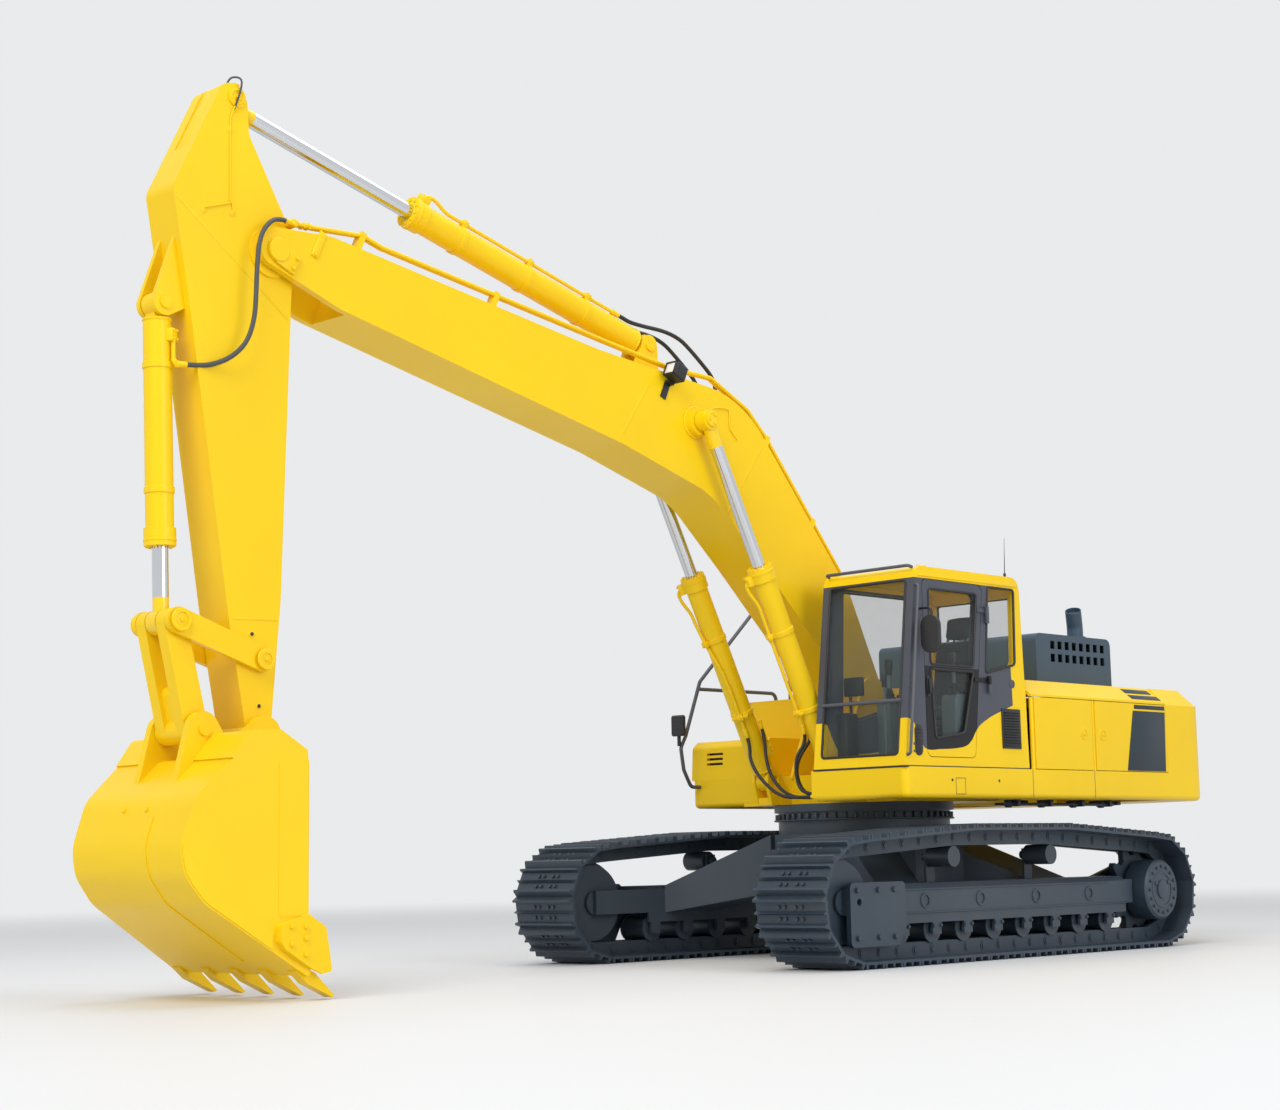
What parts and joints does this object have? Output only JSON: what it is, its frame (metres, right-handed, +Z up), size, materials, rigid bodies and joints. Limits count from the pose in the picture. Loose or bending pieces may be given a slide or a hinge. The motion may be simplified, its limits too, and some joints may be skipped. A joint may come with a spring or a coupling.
{
  "type": "crawler excavator",
  "caption": "Crawler excavator with a slewing upper body, closed cab, one-piece boom, arm and bucket moved by hydraulic cylinders.",
  "frame": {"origin": "on the ground under the centre of the swing ring", "axes": "+X forward along the tracks and the boom, +Y to the operator's left, +Z up"},
  "size_m": [11.2705, 3.44, 6.2942],
  "materials": {
    "yellow_paint": "gloss paint, slightly worn",
    "dark_paint": "dark blue-grey satin paint",
    "cab_grey": "dark grey satin paint",
    "track_steel": "dull rolled steel",
    "rod_chrome": "polished chrome",
    "engine_iron": "rough casting",
    "window": "clear tinted",
    "seat_cloth": "dark cloth",
    "trim_plastic": "grained",
    "lamp_plastic": "satin black"
  },
  "bodies": {
    "undercarriage": {"track_left": "track_steel", "track_right": "track_steel", "track_frames": "dark_paint", "idler_guards": "dark_paint", "idlers": "dark_paint", "sprockets": "dark_paint", "track_rollers": "dark_paint", "carrier_rollers": "dark_paint", "car_body": "dark_paint", "swing_ring_lower": "dark_paint"},
    "upper": {"swing_ring_upper": "dark_paint", "revolving_frame": "yellow_paint", "frame_pins": "yellow_paint", "counterweight": "yellow_paint", "body_covers": "yellow_paint", "engine_block": "engine_iron", "hydraulic_tank": "yellow_paint", "fuel_tank": "yellow_paint", "tool_box": "yellow_paint", "handrails": "dark_paint", "mirrors": "lamp_plastic", "cab_floor": "cab_grey", "cab_roof": "yellow_paint", "cab_front_frame": "cab_grey", "cab_rear_wall": "yellow_paint", "cab_left_wall": "yellow_paint", "cab_right_wall": "yellow_paint", "cab_glass": "window", "seat": "seat_cloth", "consoles": "trim_plastic"},
    "cab_door": {"cab_door": "yellow_paint", "cab_door_glass": "window"},
    "engine_hood": {"engine_hood": "dark_paint", "exhaust_pipe": "dark_paint"},
    "left_door_front": {"left_door_front": "yellow_paint"},
    "left_door_rear": {"left_door_rear": "yellow_paint"},
    "right_door": {"right_door": "yellow_paint"},
    "boom": {"boom": "yellow_paint", "boom_pins": "yellow_paint", "work_lamp": "lamp_plastic", "boom_pipes": "yellow_paint"},
    "boom_cylinder_left": {"boom_cylinder_left": "yellow_paint"},
    "boom_cylinder_right": {"boom_cylinder_right": "yellow_paint"},
    "boom_rod_left": {"boom_rod_left": "rod_chrome"},
    "boom_rod_right": {"boom_rod_right": "rod_chrome"},
    "arm": {"arm": "yellow_paint", "arm_pins": "yellow_paint"},
    "arm_cylinder": {"arm_cylinder": "yellow_paint"},
    "arm_rod": {"arm_rod": "rod_chrome"},
    "bucket": {"bucket": "yellow_paint", "bucket_teeth": "yellow_paint", "side_cutters": "yellow_paint", "bucket_pins": "yellow_paint"},
    "side_links": {"side_links": "yellow_paint"},
    "bucket_link": {"bucket_link": "yellow_paint"},
    "bucket_cylinder": {"bucket_cylinder": "yellow_paint"},
    "bucket_rod": {"bucket_rod": "rod_chrome"}
  },
  "joints": [
    {"name": "swing", "type": "hinge", "parent": "undercarriage", "child": "upper", "pos_m": [0, 0, 1.255], "axis": [0, 0, 1], "continuous": true},
    {"name": "cab_door_hinge", "type": "hinge", "parent": "upper", "child": "cab_door", "pos_m": [0.12, 1.504, 2.2], "axis": [0, 0, -1], "range_deg": [-165, 0]},
    {"name": "engine_hood_hinge", "type": "hinge", "parent": "upper", "child": "engine_hood", "pos_m": [-1.36, 0, 2.388], "axis": [0, 1, 0], "range_deg": [0, 55]},
    {"name": "left_front_door_hinge", "type": "hinge", "parent": "upper", "child": "left_door_front", "pos_m": [-0.517, 1.472, 1.9], "axis": [0, 0, -1], "range_deg": [0, 110]},
    {"name": "left_rear_door_hinge", "type": "hinge", "parent": "upper", "child": "left_door_rear", "pos_m": [-1.462, 1.472, 1.9], "axis": [0, 0, -1], "range_deg": [0, 110]},
    {"name": "right_door_hinge", "type": "hinge", "parent": "upper", "child": "right_door", "pos_m": [-1.462, -1.472, 1.9], "axis": [0, 0, 1], "range_deg": [0, 110]},
    {"name": "boom_lift", "type": "hinge", "parent": "upper", "child": "boom", "pos_m": [0.16, 0, 2.26], "axis": [0, -1, 0], "range_deg": [-65, 32]},
    {"name": "boom_cylinder_left_swing", "type": "hinge", "parent": "upper", "child": "boom_cylinder_left", "pos_m": [0.86, 0.385, 1.53], "axis": [0, -1, 0], "range_deg": [-66, 33]},
    {"name": "boom_cylinder_right_swing", "type": "hinge", "parent": "upper", "child": "boom_cylinder_right", "pos_m": [0.86, -0.385, 1.53], "axis": [0, -1, 0], "range_deg": [-66, 33]},
    {"name": "boom_rod_left_slide", "type": "slide", "parent": "boom_cylinder_left", "child": "boom_rod_left", "axis": [0.4601, 0, 0.8879], "range_m": [-0.98, 0.49]},
    {"name": "boom_rod_right_slide", "type": "slide", "parent": "boom_cylinder_right", "child": "boom_rod_right", "axis": [0.4601, 0, 0.8879], "range_m": [-0.98, 0.49]},
    {"name": "arm_fold", "type": "hinge", "parent": "boom", "child": "arm", "pos_m": [6.60963, 0, 5.13156], "axis": [0, 1, 0], "range_deg": [-85, 25]},
    {"name": "arm_cylinder_swing", "type": "hinge", "parent": "boom", "child": "arm_cylinder", "pos_m": [2.73724, 0, 5.06912], "axis": [0, -1, 0], "range_deg": [-3, 3]},
    {"name": "arm_rod_slide", "type": "slide", "parent": "arm_cylinder", "child": "arm_rod", "axis": [0.9656, 0, 0.2601], "range_m": [-1.4, 0.42]},
    {"name": "bucket_curl", "type": "hinge", "parent": "arm", "child": "bucket", "pos_m": [6.69811, 0, 1.75272], "axis": [0, 1, 0], "range_deg": [-34, 122]},
    {"name": "side_links_swing", "type": "hinge", "parent": "arm", "child": "side_links", "pos_m": [6.68865, 0, 2.26665], "axis": [0, 1, 0], "range_deg": [-23, 78]},
    {"name": "bucket_link_swing", "type": "hinge", "parent": "bucket", "child": "bucket_link", "pos_m": [7.19511, 0, 1.77872], "axis": [0, 1, 0], "range_deg": [-79, 23]},
    {"name": "bucket_cylinder_swing", "type": "hinge", "parent": "arm", "child": "bucket_cylinder", "pos_m": [7.42739, 0, 4.6548], "axis": [0, 1, 0], "range_deg": [-2, 3]},
    {"name": "bucket_rod_slide", "type": "slide", "parent": "bucket_cylinder", "child": "bucket_rod", "axis": [-0.0265, 0, -0.9996], "range_m": [-0.24, 0.83]}
  ],
  "couplings": [
    {"joint": "boom_cylinder_left_swing", "follows": "boom_lift", "ratio": 0.99},
    {"joint": "boom_cylinder_right_swing", "follows": "boom_lift", "ratio": 0.99},
    {"joint": "boom_rod_left_slide", "follows": "boom_lift", "m_per_rad": 0.85},
    {"joint": "boom_rod_right_slide", "follows": "boom_lift", "m_per_rad": 0.85},
    {"joint": "arm_cylinder_swing", "follows": "arm_fold", "ratio": 0.01},
    {"joint": "arm_rod_slide", "follows": "arm_fold", "m_per_rad": 0.92},
    {"joint": "side_links_swing", "follows": "bucket_curl", "ratio": 0.63},
    {"joint": "bucket_link_swing", "follows": "bucket_curl", "ratio": -0.64},
    {"joint": "bucket_cylinder_swing", "follows": "bucket_curl", "ratio": 0.01},
    {"joint": "bucket_rod_slide", "follows": "bucket_curl", "m_per_rad": 0.38}
  ]
}
